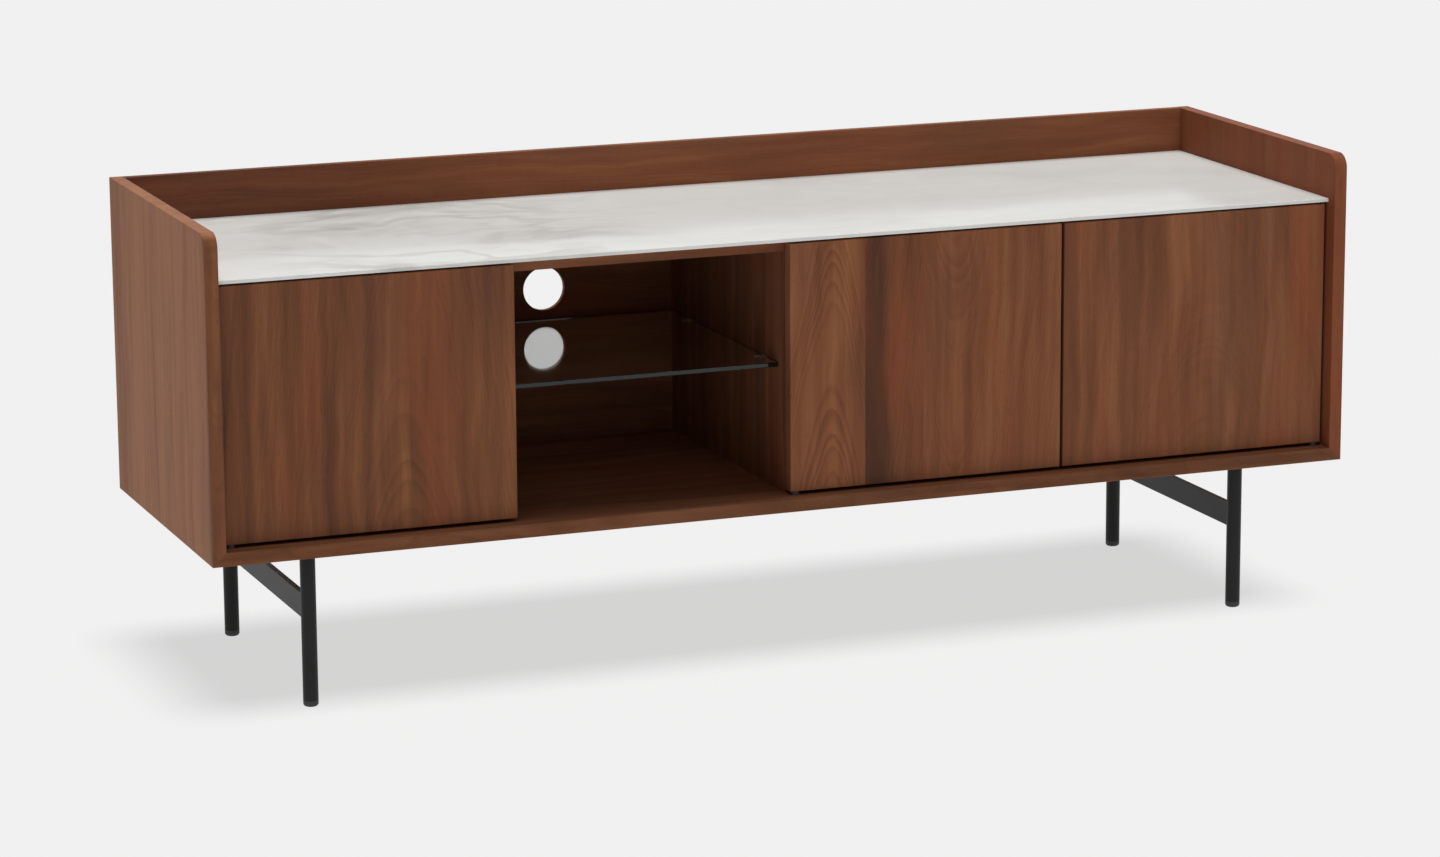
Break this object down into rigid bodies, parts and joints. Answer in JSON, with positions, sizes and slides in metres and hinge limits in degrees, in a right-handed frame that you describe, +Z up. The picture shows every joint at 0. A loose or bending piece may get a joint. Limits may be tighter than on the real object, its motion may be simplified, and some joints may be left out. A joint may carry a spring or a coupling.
{
  "type": "media cabinet",
  "caption": "Long low media cabinet: walnut case on two black steel leg frames, stone top inside a low gallery, open bay with a glass shelf, hinged push-open doors.",
  "frame": {"origin": "on the floor, below the middle of the cabinet", "axes": "+X to the cabinet's right as seen from the front, -Y to the front, +Z up"},
  "size_m": [1.6, 0.48, 0.632],
  "materials": {
    "walnut": "matt lacquered walnut veneer",
    "stone": "polished pale sintered stone with soft grey veins",
    "glass": "clear tempered glass",
    "black_steel": "satin black powder coat",
    "zinc_steel": "bright zinc plate",
    "beech": "raw beech",
    "black_nylon": "moulded nylon",
    "grey_nylon": "moulded nylon",
    "clear_rubber": "soft translucent pads"
  },
  "bodies": {
    "cabinet": {"back_panel_centre": "walnut", "back_panel_left": "walnut", "back_panel_right": "walnut", "back_panel_screws": "zinc_steel", "bottom_panel": "walnut", "cam_bolts": "zinc_steel", "cam_discs": "zinc_steel", "divider_dowels": "beech", "divider_left": "walnut", "divider_right": "walnut", "divider_screws": "zinc_steel", "door_bumpers": "clear_rubber", "foot_glides": "black_nylon", "gallery_board": "walnut", "gallery_dowels": "beech", "glass_shelf": "glass", "glass_shelf_pins": "zinc_steel", "latch_housings": "grey_nylon", "latch_screws": "zinc_steel", "latch_spring_centre": "zinc_steel", "latch_spring_left": "zinc_steel", "latch_spring_right": "zinc_steel", "leg_brace_left": "black_steel", "leg_brace_right": "black_steel", "leg_front_left": "black_steel", "leg_front_right": "black_steel", "leg_plate_screws": "black_steel", "leg_plates": "black_steel", "leg_rear_left": "black_steel", "leg_rear_right": "black_steel", "mitre_spline_left": "beech", "mitre_spline_right": "beech", "pivot_pins": "zinc_steel", "pivot_plate_screws": "zinc_steel", "pivot_plates_lower": "black_steel", "pivot_plates_upper": "black_steel", "shelf_left": "walnut", "shelf_pins_left": "zinc_steel", "shelf_pins_right": "zinc_steel", "shelf_right": "walnut", "side_panel_left": "walnut", "side_panel_right": "walnut", "stone_top": "stone", "sub_top_panel": "walnut"},
    "left_door": {"door_left": "walnut", "door_bushes_left": "black_nylon", "strike_plate_left": "zinc_steel"},
    "left_latch": {"latch_plunger_left": "grey_nylon", "latch_magnet_left": "zinc_steel"},
    "centre_door": {"door_centre": "walnut", "door_bushes_centre": "black_nylon", "strike_plate_centre": "zinc_steel"},
    "centre_latch": {"latch_plunger_centre": "grey_nylon", "latch_magnet_centre": "zinc_steel"},
    "right_door": {"door_right": "walnut", "door_bushes_right": "black_nylon", "strike_plate_right": "zinc_steel"},
    "right_latch": {"latch_plunger_right": "grey_nylon", "latch_magnet_right": "zinc_steel"}
  },
  "joints": [
    {"name": "left_door_hinge", "type": "hinge", "parent": "cabinet", "child": "left_door", "pos_m": [-0.77, -0.2135, 0.395], "axis": [0, 0, -1], "range_deg": [0, 95]},
    {"name": "centre_door_hinge", "type": "hinge", "parent": "cabinet", "child": "centre_door", "pos_m": [-0.0005, -0.2135, 0.395], "axis": [0, 0, -1], "range_deg": [0, 95]},
    {"name": "right_door_hinge", "type": "hinge", "parent": "cabinet", "child": "right_door", "pos_m": [0.77, -0.2135, 0.395], "axis": [0, 0, 1], "range_deg": [0, 95]},
    {"name": "left_latch_slide", "type": "slide", "parent": "cabinet", "child": "left_latch", "axis": [0, -1, 0], "range_m": [0, 0.02]},
    {"name": "centre_latch_slide", "type": "slide", "parent": "cabinet", "child": "centre_latch", "axis": [0, -1, 0], "range_m": [0, 0.02]},
    {"name": "right_latch_slide", "type": "slide", "parent": "cabinet", "child": "right_latch", "axis": [0, -1, 0], "range_m": [0, 0.02]}
  ],
  "couplings": [
    {"joint": "left_latch_slide", "follows": "left_door_hinge", "m_per_rad": 0.012062},
    {"joint": "centre_latch_slide", "follows": "centre_door_hinge", "m_per_rad": 0.012062},
    {"joint": "right_latch_slide", "follows": "right_door_hinge", "m_per_rad": 0.012062}
  ]
}
